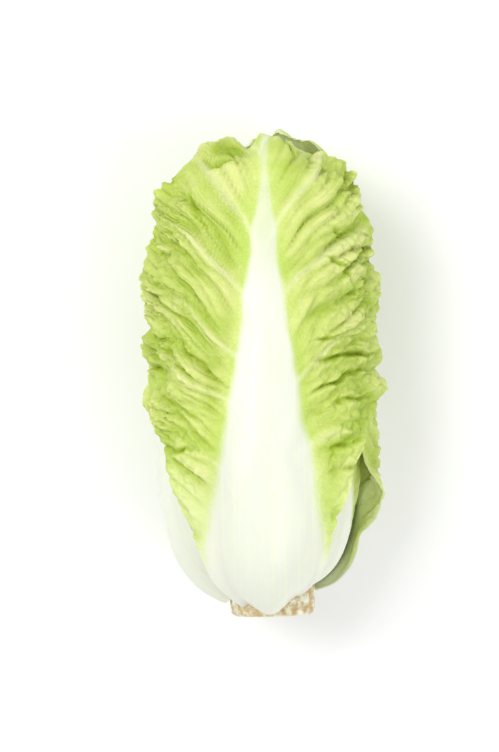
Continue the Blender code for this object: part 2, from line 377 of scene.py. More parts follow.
# The cut stem's skin in the same way; the ring of bundles and the dry rim by distance from the axis
BUNDLE_SCALE = (5.0, 9.0, 1.0)
BUNDLE_RANGE = (0.52, 0.66)
RING_INSIDE = (0.48, 0.66)
RING_OUTSIDE = (0.90, 0.78)
MOTTLING_NOISE = (160.0, 6.0, 0.65)
MOTTLING_RANGE = (0.38, 0.68)
DRY_RIM = (0.84, 1.0)
DRY_NOISE = (220.0, 4.0, 0.6)
DRY_RANGE = (0.36, 0.64)
STROKE_TURN = (0.0, 0.5, 0.0)
STROKE_SCALE = (900.0, 60.0, 60.0)
STEM_DETAIL = 3.0
STEM_ROUGHNESS = (0.0, 1.0, 0.55, 0.42)

# Bump as strength and distance, and the light that goes into the flesh as weight, radius and scale
SKIN_BUMP = (0.8, 0.001)
SKIN_GLOW = (0.35, (0.7, 1.0, 0.25), 0.0035)
STEM_BUMP = (0.4, 0.0004)
STEM_GLOW = (0.2, (1.0, 0.8, 0.4), 0.003)

# Mesh fineness: columns and rows of each leaf, from the outermost inwards
LEAF_GRIDS = [(196, 246), (170, 210), (160, 196), (160, 196), (130, 160), (130, 160)] + [(84, 110)] * 5
COLUMN_CROWDING = 0.85
BISECTIONS = 32
GIRTH = 0.058
SHARP_RIM = math.radians(70.0)

# How the head lies: a little flatter than it is wide, and pressed flat where it rests (metres)
DEPTH_TO_WIDTH = 0.92
AXIS_HEIGHT = 0.0488
AXIS_SHIFT = (0.0016, 0.0003)

# Multipliers that spread lattice points over repeatable values
LATTICE_KEYS = (73856093, 19349663, 83492791)
LATTICE_SEED_KEY = 40503
LATTICE_MIX = (0x2C1B3C6D, 0x297A2D39)
LATTICE_MASK = 0xFFFFFFFF

# The camera looks straight down; the head leans a little in the frame (metres, pixels)
FRAME_WIDTH = 499.0
FRAME_HEIGHT = 752.0
PIXELS_PER_METRE = 1950.0
HEAD_PIXEL = (262.5, 372.0)
CAMERA_HEIGHT = 1.9
CAMERA_ROLL = math.radians(-1.7)
SENSOR_HEIGHT = 24.0

# The size and place of each light, and the floor (metres)
KEY_LIGHT = (0.9, (-0.75, 0.45, 1.30))
FILL_LIGHT = (1.2, (0.9, -0.5, 1.1))
FLOOR_HALF_SIZE = 4.0
FLOOR_ROUGHNESS = 0.9


def smooth_step(low, high, value):
    """0 before low, 1 past high and a smooth change between; low may be the larger."""
    t = np.clip((value - low) / (high - low), 0.0, 1.0)
    return t * t * (3.0 - 2.0 * t)


def blend(first, last, share):
    """From first to last, by a share from 0 to 1."""
    return first + (last - first) * share


def lattice(cells, seed):
    """Repeatable values from 0 to 1, one for each coordinate of each lattice cell."""
    size = cells.shape[1]
    keys = cells.astype(np.int64) @ np.array(LATTICE_KEYS[:size]) + seed * LATTICE_SEED_KEY
    values = []
    for key in LATTICE_KEYS[:size]:
        mixed = (keys + key) & LATTICE_MASK
        mixed = ((mixed ^ (mixed >> 15)) * LATTICE_MIX[0]) & LATTICE_MASK
        mixed = ((mixed ^ (mixed >> 12)) * LATTICE_MIX[1]) & LATTICE_MASK
        values.append(((mixed ^ (mixed >> 15)) & LATTICE_MASK) / LATTICE_MASK)
    return np.stack(values, axis=1)


def ripple(points, seed):
    """Smooth noise from about -1 to 1 with waves one unit long."""
    cell = np.floor(points)
    inside = points - cell
    fade = inside * inside * (3.0 - 2.0 * inside)
    total = np.zeros(len(points))
    for corner in itertools.product((0, 1), repeat=points.shape[1]):
        near = np.prod(np.where(corner, fade, 1.0 - fade), axis=1)
        slope = 2.0 * lattice(cell + corner, seed) - 1.0
        total += near * np.sum(slope * (inside - corner), axis=1)
    return 2.0 * total


def pillows(points, seed):
    """Cells about one unit across: 0 in the sharp creases between them and up to 1 in their middles."""
    cell = np.floor(points)
    nearest = np.full(len(points), 9.0)
    second = nearest.copy()
    for step in itertools.product((-1, 0, 1), repeat=points.shape[1]):
        middle = cell + step
        middle = middle + lattice(middle, seed)
        distance = np.sqrt(np.sum((points - middle) ** 2, axis=1))
        second = np.where(distance < nearest, nearest, np.minimum(second, distance))
        nearest = np.minimum(nearest, distance)
    return np.clip(second - nearest, 0.0, 1.0)


def heart_outline(phi):
    """Radius and distance along the axis of the heart's surface."""
    s, c = np.sin(phi), np.cos(phi)
    bluntness = np.where(c > 0.0, HEART_TOP_BLUNTNESS, HEART_BASE_BLUNTNESS)
    scale = (np.abs(s) ** bluntness + np.abs(c) ** bluntness) ** (-1.0 / bluntness)
    return HEART_RADIUS * s * scale * (1.0 + HEART_TAPER * c), HEART_HALF_LENGTH * c * scale


def heart_section(phi):
    """Radius, distance along the axis and the outward normal's two parts, at phi."""
    step = 1e-4
    radius, along = heart_outline(phi)
    next_radius, next_along = heart_outline(phi + step)
    last_radius, last_along = heart_outline(phi - step)
    turn_r, turn_y = next_radius - last_radius, next_along - last_along
    length = np.hypot(turn_r, turn_y)
    return radius, along, -turn_y / length, turn_r / length


def placed(x, y, z):
    """From the head's own axis to where it lies."""
    return np.stack([x + AXIS_SHIFT[0], y + AXIS_SHIFT[1], z * DEPTH_TO_WIDTH + AXIS_HEIGHT], axis=-1)


def over_heart(phi, theta, height):
    """A point that stands height above the heart."""
    radius, along, normal_r, normal_y = heart_section(phi)
    reach = radius + normal_r * height
    return placed(reach * np.sin(theta), along + normal_y * height, reach * np.cos(theta))


def overreach(phi):
    """How far beyond the apex a leaf's own centre lies, seen from phi."""
    return OVERREACH * smooth_step(OVERREACH_END, 0.0, phi)


class Leaf:
    """One wrapper leaf. rank 0 is the outermost; share runs from 1 there to 0 at the innermost."""

    def __init__(self, rank):
        share = 1.0 - rank / (LEAF_COUNT - 1)
        self.name = f"leaf_{rank + 1:02d}"
        self.rank = rank
        self.turn = rank * LEAF_DIVERGENCE
        self.rib = blend(RIB_THICKNESS_INNER, RIB_THICKNESS_OUTER, share)
        self.half_angle = blend(BLADE_HALF_ANGLE_INNER, BLADE_HALF_ANGLE_OUTER, share)
        self.tip = blend(TIP_INNER, TIP_OUTER, share)
        self.grid = LEAF_GRIDS[rank]
        self.phase = PHASE_STEP * rank

    def half_width(self, along):
        """Half-angle of the leaf at along, its distance from the apex: stalk, blade, narrowed tip."""
        blade = smooth_step(BLADE_START, BLADE_FULL, along)
        width = blend(STALK_HALF_ANGLE, self.half_angle, blade)
        lobes = 1.0 + LOBE_DEPTH * np.sin(LOBE_WAVES * along + self.phase)
        narrowed = 1.0 - TIP_NARROWING * smooth_step(self.tip + TIP_NARROWING_LENGTH, self.tip, along)
        return width * lobes * narrowed

    def tip_at(self, u):
        """Where the leaf ends at u across it: a rounded tip, furthest at the midrib."""
        return self.tip + TIP_ROUNDING * u * u

    def from_head(self, phi, theta):
        """From the head's phi and theta to the leaf's own along and psi, polar about a point that
        moves beyond the apex near it, so that the tip can fold over the apex."""
        beyond = overreach(phi)
        p = phi * np.cos(theta - self.turn) + beyond
        q = phi * np.sin(theta - self.turn)
        return np.hypot(p, q) - beyond, np.arctan2(q, p)

    def to_head(self, along, psi):
        """The inverse of from_head, by bisection."""
        near, far = np.zeros_like(psi), np.full_like(psi, math.pi)
        for _ in range(BISECTIONS):
            phi = 0.5 * (near + far)
            p = (along + overreach(phi)) * np.cos(psi) - overreach(phi)
            q = (along + overreach(phi)) * np.sin(psi)
            outside = np.hypot(p, q) > phi
            near, far = np.where(outside, phi, near), np.where(outside, far, phi)
        return phi, self.turn + np.arctan2(q, p)

    def cover(self, along, psi, shoulder, fade):
        """1 over the whole leaf and a shoulder past its edges, and then fading to 0."""
        beside = smooth_step(shoulder + fade, shoulder, np.abs(psi) - self.half_width(along))
        beyond = smooth_step(shoulder + fade, shoulder, self.tip - along)
        return beside * beyond

    def rib_half_angle(self, along):
        """Half-angle of the midrib, which narrows from the base to the tip."""
        low = smooth_step(RIB_THIN, RIB_FULL, along)
        return blend(RIB_HALF_ANGLE_TIP, RIB_HALF_ANGLE_BASE, low)

    def thickness(self, along, psi, spread=1.0):
        """The thickness of the blade and its midrib."""
        low = smooth_step(RIB_THIN, RIB_FULL, along)
        half = spread * self.rib_half_angle(along)
        bump = np.clip(1.0 - (psi / half) ** 2, 0.0, 1.0) ** RIB_ROUNDNESS
        raised = (self.rib - BLADE_THICKNESS) * blend(RIB_TIP_SHARE, 1.0, low)
        return BLADE_THICKNESS + raised * bump

    def length_share(self, along):
        """0 where the side veins start and 1 at the tip."""
        return (VEIN_START - along) / (VEIN_START - self.tip)

    def vein_turns(self, along, u):
        """Counts the side veins from the base up; a whole number on each vein."""
        across = np.abs(u) ** VEIN_CURVE
        rise, fan = VEIN_RISE, VEIN_FAN
        if self.rank == 0:
            on_right = smooth_step(*CHANGE_OVER, u)
            rise, fan = blend(*FRONT_VEIN_RISE, on_right), blend(*FRONT_VEIN_FAN, on_right)
        vein = (self.length_share(along) - rise * across) / (1.0 + fan * across)
        return VEIN_PAIRS * vein + self.phase / (2.0 * math.pi)


LEAVES = [Leaf(rank) for rank in range(LEAF_COUNT)]


def stacked_height(leaf, phi, theta):
    """Height of the leaf's inner face above the heart, and how free it is of leaves over it."""
    height = np.full_like(phi, LEAF_CLEARANCE)
    free = np.ones_like(phi)
    for other in LEAVES:
        along, psi = other.from_head(phi, theta)
        if other.rank > leaf.rank:
            layer = other.thickness(along, psi, RIB_PRINT_SPREAD) + LEAF_CLEARANCE
            height = height + layer * other.cover(along, psi, STEP_SHOULDER, STEP_FADE)
        elif other.rank < leaf.rank:
            free = free * (1.0 - other.cover(along, psi, PRESS_SHOULDER, PRESS_FADE))
    return height, free


def pillow_layers(turns, reach, side, seed):
    """Two sizes of creased pillows between the side veins; 0 in the creases and 1 on top."""
    layers = []
    for number, count in enumerate(PILLOW_COUNTS):
        cells = np.stack([count * turns + SIDE_OFFSET * side, reach / PILLOW_LENGTHS[number]], axis=1)
        gap = pillows(cells, seed + number)
        layers.append(smooth_step(0.0, PILLOW_SHARPNESS[number], gap) ** PILLOW_ROUNDNESS)
    return layers


def rib_white(leaf, phi, along, psi, turns, height, spot):
    """How white the midrib makes each point, and the distance from the midrib's middle and its edge."""
    radius, _, normal_r, _ = heart_section(phi)
    spread = (along + overreach(phi)) * (radius + normal_r * height) / np.maximum(phi, NEAREST_APEX)
    lean = RIB_LEAN if leaf.rank == LEANING_LEAF else 0.0
    across = (psi + lean) * spread
    share = np.clip((HEAD_TOP - spot[:, 1]) / WHITE_LENGTH, 0.0, WHITE_LOWEST)
    half = WHITE_TIP + WHITE_SPREAD * share ** WHITE_CURVE
    if leaf.rank == 0:
        across = across - FRONT_SWAY[1] + (FRONT_SWAY[1] - FRONT_SWAY[0]) * np.minimum(share, 1.0)
    if leaf.rank == LEANING_LEAF:
        half = half * RIB_LEAN_NARROWING
    half = half + WHITE_WAVER * ripple(spot / WHITE_WAVER_SIZE, 10 * leaf.rank + 8)
    off_vein = np.abs(turns - np.round(turns))
    half = half + WHITE_VEIN_SPREAD * smooth_step(WHITE_VEIN_REACH, 0.0, off_vein)
    soft = blend(*WHITE_SOFTNESS, share ** 2)
    faintest, tip_end, full = WHITE_FAINT_TIP
    strength = blend(faintest, 1.0, smooth_step(tip_end, full, share))
    white = strength * smooth_step(half + soft, half - soft, np.abs(across))
    base = smooth_step(*BASE_WHITENING, spot[:, 1])
    return np.maximum(white, base), across, np.abs(across) - half


def folded_share(spot):
    """1 on the front leaf's upper side and at its tip, where it is folded, and 0 on its flanks."""
    upper = smooth_step(*FOLDED_FROM_HEIGHT, spot[:, 2])
    return np.maximum(upper, smooth_step(*FOLDED_TIP, spot[:, 1]))


def fold_relief(spot, seed):
    """Depth of the sharp folds with the ridges beside them, and a mark that is 1 along each fold, by which
    shade is painted into the fold.
    """
    drift = [FOLD_WANDER * ripple(spot / FOLD_WANDER_SIZE, seed + step) for step in range(2)]
    x, y = spot[:, 0] + drift[0], spot[:, 1] + drift[1]
    relief, mark = np.zeros(len(x)), np.zeros(len(x))
    upper = folded_share(spot)
    for half_width, depth, points in FOLDS:
        nearest, progress = np.full(len(x), 1.0), np.zeros(len(x))
        points = MILLIMETRE * np.array(points, dtype=float)
        for number, (start, end) in enumerate(zip(points, points[1:])):
            run = end - start
            share = np.clip(((x - start[0]) * run[0] + (y - start[1]) * run[1]) / (run @ run), 0.0, 1.0)
            distance = np.hypot(x - start[0] - share * run[0], y - start[1] - share * run[1])
            progress = np.where(distance < nearest, (number + share) / (len(points) - 1), progress)
            nearest = np.minimum(nearest, distance)
        off = nearest / (MILLIMETRE * half_width)
        strength = smooth_step(0.0, FOLD_ENDS, progress) * smooth_step(1.0, 1.0 - FOLD_ENDS, progress)
        strength = upper * blend(FOLD_END_DEPTH, 1.0, strength)
        groove = strength * np.exp(-off ** 2)
        ridge = strength * np.exp(-(((off - FOLD_RIDGE_OFFSET) / FOLD_RIDGE_WIDTH) ** 2))
        relief = relief + MILLIMETRE * depth * (FOLD_RIDGE * ridge - groove)
        mark = np.maximum(mark, groove)
    return relief, mark


def crumpling(spot, seed):
    """How much more crumpled than usual the front leaf is at each point."""
    amount = np.ones(len(spot))
    upper = folded_share(spot)
    uneven = CRUMPLE_UNEVENNESS * ripple(spot / CRUMPLE_PATCH_SIZE, seed)
    for x, y, radius, change in CRUMPLED:
        away = np.hypot(spot[:, 0] - MILLIMETRE * x, spot[:, 1] - MILLIMETRE * y)
        off = away / (MILLIMETRE * radius)
        amount = amount + change * upper * smooth_step(*CRUMPLE_FADE, off + uneven)
    return amount


def leaf_surface(leaf, phi, theta, look):
    """Height of the leaf's outer face, its thickness there, and the marks that its colours follow."""
    height, free = stacked_height(leaf, phi, theta)
    along, psi = leaf.from_head(phi, theta)
    thickness = leaf.thickness(along, psi)
    u = psi / leaf.half_width(along)
    edge, side, v = np.abs(u), np.sign(u), leaf.length_share(along)
    to_tip = along - leaf.tip_at(u)
    spot = over_heart(phi, theta, height)
    seed = 10 * leaf.rank
    pressed = blend(PLEAT_COVERED, 1.0, free)
    turns = leaf.vein_turns(along, u) + VEIN_WANDER * ripple(spot / VEIN_WANDER_SIZE, seed)
    white, across, past_white = rib_white(leaf, phi, along, psi, turns, height, spot)
    beside_rib = smooth_step(0.0, BESIDE_RIB, past_white) * smooth_step(*PILLOW_LOWER_EDGE, along)
    crumpled = crumpling(spot, seed + 2) if leaf.rank == 0 else np.ones_like(phi)

    # Broad pleats, creased pillows between the side veins, and the veins as raised cords
    broad = 0.5 + 0.5 * np.cos(2.0 * math.pi * turns)
    broad = broad * smooth_step(*PLEAT_INNER_EDGE, edge) * smooth_step(*PLEAT_LOWER_EDGE, along)
    reach = edge * leaf.half_width(along) * GIRTH
    large, small = pillow_layers(turns, reach, side, seed + 1)
    off_vein = np.abs(turns - np.round(turns))
    cord = smooth_step(CORD_HALF_WIDTH, 0.0, off_vein) * smooth_step(*CORD_EDGE, edge) * beside_rib
    puffed = look.large_pillow_height * large + look.small_pillow_height * small * crumpled
    puffed = look.pleat_height * broad + beside_rib * puffed + look.cord_height * cord

    # Puckers and wrinkles, which grow towards the margin
    puckered = smooth_step(*PUCKER_INNER_EDGE, edge) * beside_rib
    pucker = smooth_step(0.0, PUCKER_SHARPNESS, pillows(spot / PUCKER_SIZE, seed + 3)) ** PILLOW_ROUNDNESS
    wrinkle = ripple(spot / WRINKLE_SIZE, seed + 4)
    puffed = puffed + crumpled * puckered * (look.pucker_height * pucker + look.wrinkle_height * wrinkle)

    # The frilled margin with its finer ruffles
    lag = leaf.phase + FRILL_LAG
    side_frill = smooth_step(*FRILL_EDGE, edge) * smooth_step(*FRILL_LOWER_EDGE, along)
    side_waves = blend(FRILL_MEAN, 1.0, np.sin(2.0 * math.pi * FRILL_WAVES * v + lag))
    end_frill = smooth_step(*FRILL_TIP_EDGE, to_tip)
    end_waves = blend(FRILL_MEAN, 1.0, np.sin(2.0 * math.pi * FRILL_TIP_WAVES * u + leaf.phase))
    frill = look.frill_height * np.maximum(side_frill * side_waves, end_frill * end_waves)
    side_ruffle = smooth_step(*RUFFLE_EDGE, edge) * smooth_step(*FRILL_LOWER_EDGE, along)
    ruffled = np.maximum(side_ruffle, smooth_step(*RUFFLE_TIP_EDGE, to_tip))
    ruffle = ripple(np.stack([RUFFLE_WAVES * v, RUFFLE_ACROSS * u + SIDE_OFFSET * side], axis=1), seed + 5)
    finer = np.stack([FINER_RUFFLE * RUFFLE_WAVES * v, RUFFLE_ACROSS * u + SIDE_OFFSET * side], axis=1)
    ruffle = np.tanh(RUFFLE_ROUNDNESS * (ruffle + FINER_RUFFLE_SHARE * ripple(finer, seed + 9)))
    frill = frill + look.ruffle_height * ruffled * ruffle
    if leaf.rank == 0:
        calm = smooth_step(*FRONT_CALM_RANGE, spot[:, 1]) * (side < 0.0)
        frill = frill * (1.0 - FRONT_CALM_FRILL * calm)

    # The relief, the shade painted into the creases and the pale base, with the front leaf's folds and
    # pockets, whose shade is painted too
    drift = GROOVE_DRIFT * along + leaf.rank
    grooves = ripple(np.stack([across / GROOVE_SIZE, drift], axis=1), seed + 6)
    relief = pressed * puffed * (1.0 - RIM_FLATTENING * ruffled) + free * frill
    relief = relief + look.groove_height * white * grooves
    # Shade is painted into the creases between the pillows
    crease_shade = beside_rib * (1.0 - LARGE_CREASE_SHADE * large - SMALL_CREASE_SHADE * small)
    pale = PALE_BASE_OTHERS * smooth_step(*PALE_BASE, spot[:, 1])
    if leaf.rank == 0:
        amount = blend(*PALE_BASE_FRONT, smooth_step(*PALE_BASE_SIDES, across))
        pale = amount * smooth_step(*PALE_BASE, spot[:, 1])
        folded, fold_shade = fold_relief(spot, seed + 7)
        relief = relief + folded * (1.0 - white)
        pockets = smooth_step(*POCKET_EDGE, pucker) * smooth_step(*POCKETED_FROM, crumpled) * puckered
        relief = relief - POCKET_DEPTH * pockets
        crease_shade = np.maximum(crease_shade, np.maximum(FOLD_SHADE * fold_shade, POCKET_SHADE * pockets))
    off_rib = np.abs(psi) / leaf.rib_half_angle(along)
    thin = np.clip(smooth_step(*THIN_EDGE, edge) + smooth_step(*THIN_TIP_EDGE, to_tip), 0.0, 1.0)
    thin = thin * smooth_step(*THIN_BESIDE_RIB, off_rib)
    thickness = thickness - (BLADE_THICKNESS - MARGIN_THICKNESS) * thin
    # A highlight painted on the crests of the pillows and puckers
    raised = LARGE_CREST_HIGHLIGHT * large + SMALL_CREST_HIGHLIGHT * small
    crinkled = beside_rib * blend(CRINKLED_BASE, 1.0, puckered) * crumpled
    marks = {
        "white": white,
        "margin": np.maximum(edge ** MARGIN_POWER, smooth_step(*MARGIN_TIP_EDGE, to_tip)),
        "crease_shade": crease_shade,
        "vein_turns": turns,
        "across": edge,
        "streak_across": across,
        "streak_along": along * GIRTH,
        # The raised mark paints a highlight on the crests
        "raised": beside_rib * raised + PUCKER_CREST_HIGHLIGHT * puckered * pucker,
        "crinkled": np.clip(crinkled, 0.0, CRINKLED_MOST) * pressed,
        "reach": reach,
        "pale": pale,
    }
    return height + thickness + np.maximum(relief, -0.5 * LEAF_CLEARANCE), thickness, marks


def base_of(leaf, u):
    """How far down each column of the leaf runs before its inner face meets the stem."""
    near, far = np.full_like(u, BASE_NEAREST), np.full_like(u, BASE_FURTHEST)
    for _ in range(BISECTIONS):
        along = 0.5 * (near + far)
        phi, theta = leaf.to_head(along, u * leaf.half_width(along))
        height, _ = stacked_height(leaf, phi, theta)
        radius, _, normal_r, _ = heart_section(phi)
        outside = radius + normal_r * height > STEM_RADIUS + TOUCH_GAP
        near, far = np.where(outside, along, near), np.where(outside, far, along)
    return near


def slab(columns, rows):
    """A flat slab from -1 to 1 in x and y and from 0 to 1 in z."""
    mesh = bmesh.new()
    bmesh.ops.create_grid(mesh, x_segments=columns, y_segments=rows, size=1.0)
    raised = bmesh.ops.extrude_face_region(mesh, geom=mesh.faces[:], use_keep_orig=True)
    raised_vertices = [v for v in raised["geom"] if isinstance(v, bmesh.types.BMVert)]
    bmesh.ops.translate(mesh, verts=raised_vertices, vec=(0, 0, 1))
    return mesh


def vertex_array(mesh):
    """The places of a bmesh's vertices, one a row."""
    return np.array([v.co[:] for v in mesh.verts])


def finished_piece(name, mesh, points, marks, material):
    """Moves a bmesh's vertices to points and makes it a smooth piece that carries its marks."""
    for vertex, point in zip(mesh.verts, points):
        vertex.co = point
    mesh.normal_update()
    bmesh.ops.recalc_face_normals(mesh, faces=mesh.faces[:])
    data = bpy.data.meshes.new(name)
    mesh.to_mesh(data)
    mesh.free()
    data.shade_smooth()
    data.set_sharp_from_angle(angle=SHARP_RIM)
    for mark, values in marks.items():
        attribute = data.attributes.new(mark, "FLOAT", "POINT")
        attribute.data.foreach_set("value", values.astype(np.float32))
    data.materials.append(material)
    piece = bpy.data.objects.new(name, data)
    bpy.context.scene.collection.objects.link(piece)
    return piece


def add_leaf(leaf, look, material):
    """A blade with its midrib, wrapped over the inner leaves and lifted where it meets the ground."""
    mesh = slab(*leaf.grid)
    flat = vertex_array(mesh)
    spots, spot_of = np.unique(flat[:, :2].round(6), axis=0, return_inverse=True)
    columns, column_of = np.unique(spots[:, 0], return_inverse=True)
    column_u = np.sin(columns * COLUMN_CROWDING) / math.sin(COLUMN_CROWDING)
    u, base, v = column_u[column_of], base_of(leaf, column_u)[column_of], 0.5 + 0.5 * spots[:, 1]
    along = base + (leaf.tip_at(u) - base) * v
    rim = smooth_step(*RUFFLE_EDGE, np.abs(u)) * smooth_step(*FRILL_LOWER_EDGE, along)
    tip = smooth_step(*RUFFLE_TIP_EDGE, along - leaf.tip_at(u))
    side, seed = SIDE_OFFSET * np.sign(u), 10 * leaf.rank
    row = np.full_like(v, NOTCH_ROW)
    notches = ripple(np.stack([NOTCH_WAVES * v + side, row], axis=1), seed + 7)
    tip_notches = ripple(np.stack([TIP_NOTCH_WAVES * u, row], axis=1), seed + 8)
    sway = ripple(np.stack([RUFFLE_WAVES * v, side], axis=1), seed + 9)
    psi = u * leaf.half_width(along) * (1.0 + NOTCH_DEPTH * rim * notches)
    if leaf.rank == 0:
        shoulder = blend(*FRONT_SHOULDERS, u > 0.0)
        psi = psi * (1.0 + shoulder * smooth_step(*FRONT_SHOULDER_RANGE, along))
        drawn_in = blend(*FRONT_DRAWN_IN, u > 0.0)
        psi = psi * (1.0 - drawn_in * smooth_step(*FRONT_DRAWN_IN_RANGE, along))
    along = along + RUFFLE_SWAY * rim * sway + TIP_NOTCH_DEPTH * tip * tip_notches
    phi, theta = leaf.to_head(along, psi)
    height, thickness, marks = leaf_surface(leaf, phi, theta, look)
    outer, inner = over_heart(phi, theta, height), over_heart(phi, theta, height - thickness)
    if leaf.rank == 0:
        curling = smooth_step(*TIP_CURL_EDGE, along - leaf.tip_at(u))
        for middle, half_width, reach in TIP_CURLS:
            curl = reach * curling * np.exp(-(((outer[:, 0] - middle) / half_width) ** 2))
            for face in (outer, inner):
                face[:, 1] -= curl
                face[:, 2] += TIP_CURL_RISE * curl
    lift = np.maximum(-outer[:, 2], 0.0)
    outer[:, 2] += lift
    inner[:, 2] += lift
    points = np.where(flat[:, 2:] > 0.5, inner[spot_of], outer[spot_of])
    marks = {mark: values[spot_of] for mark, values in marks.items()}
    marks["inside"] = flat[:, 2]
    piece = finished_piece(leaf.name + "_blade", mesh, points, marks, material)
    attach(piece, "root")
    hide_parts(leaf.name)
    return piece


def add_node(tree, kind, location, inputs=None, **values):
    """A node with its settings, and with inputs linked to sockets or set to values."""
    node = tree.nodes.new(kind)
    node.location = location
    for name, value in values.items():
        setattr(node, name, value)
    for name, value in (inputs or {}).items():
        if isinstance(value, bpy.types.NodeSocket):
            tree.links.new(value, node.inputs[name])
        else:
            node.inputs[name].default_value = value
    return node


def mark_node(tree, mark, location):
    """One of the marks that the pieces carry at their vertices."""
    return add_node(tree, "ShaderNodeAttribute", location, attribute_name=mark).outputs["Fac"]


def math_node(tree, operation, location, first, second, clamp=False):
    """A Math node on two sockets or numbers."""
    inputs = {0: first, 1: second}
    node = add_node(tree, "ShaderNodeMath", location, inputs, operation=operation, use_clamp=clamp)
    return node.outputs[0]


def mix_node(tree, location, factor, first, second):
    """Mixes two colours."""
    inputs = {0: factor, 6: first, 7: second}
    return add_node(tree, "ShaderNodeMix", location, inputs, data_type="RGBA").outputs[2]


def range_node(tree, location, value, low, high, out_low=0.0, out_high=1.0):
    """Brings a value from low..high to out_low..out_high, smoothly and clamped."""
    inputs = {"Value": value, "From Min": low, "From Max": high, "To Min": out_low, "To Max": out_high}
    return add_node(tree, "ShaderNodeMapRange", location, inputs, interpolation_type="SMOOTHSTEP").outputs[0]


def object_place(tree, location):
    """Where each point lies in its own piece."""
    return add_node(tree, "ShaderNodeTexCoord", location).outputs["Object"]


def noise_node(tree, location, scale, detail, roughness):
    """Even noise over a piece."""
    place = object_place(tree, (location[0] - 200, location[1]))
    inputs = {"Vector": place, "Scale": scale, "Detail": detail, "Roughness": roughness}
    return add_node(tree, "ShaderNodeTexNoise", location, inputs).outputs["Fac"]


def stretched_noise(tree, location, vector, detail):
    """Noise in coordinates that are already stretched."""
    inputs = {"Vector": vector, "Detail": detail}
    return add_node(tree, "ShaderNodeTexNoise", location, inputs).outputs["Fac"]


def stretched_pair(tree, location, first, second, scale):
    """Two marks as a pair of coordinates, each stretched by its own scale."""
    pair = add_node(tree, "ShaderNodeCombineXYZ", location, {0: first, 1: second}).outputs[0]
    beside = (location[0] + 200, location[1])
    return add_node(tree, "ShaderNodeMapping", beside, {"Vector": pair, "Scale": scale}).outputs[0]


# The leaf skin's colour inputs, and the settings that they come from
SKIN_COLOURS = {
    "Rib Colour": "rib_colour",
    "Rib Streak": "streak_colour",
    "Blade Colour": "blade_colour",
    "Pale Patch and Highlight Colour": "pale_patch_and_highlight_colour",
    "Deep Green and Shade Colour": "deep_green_and_shade_colour",
    "Vein Colour": "vein_colour",
    "Base Blade Colour": "base_colour",
    "Inner Face and Light Colour": "inner_face_and_light_colour",
}


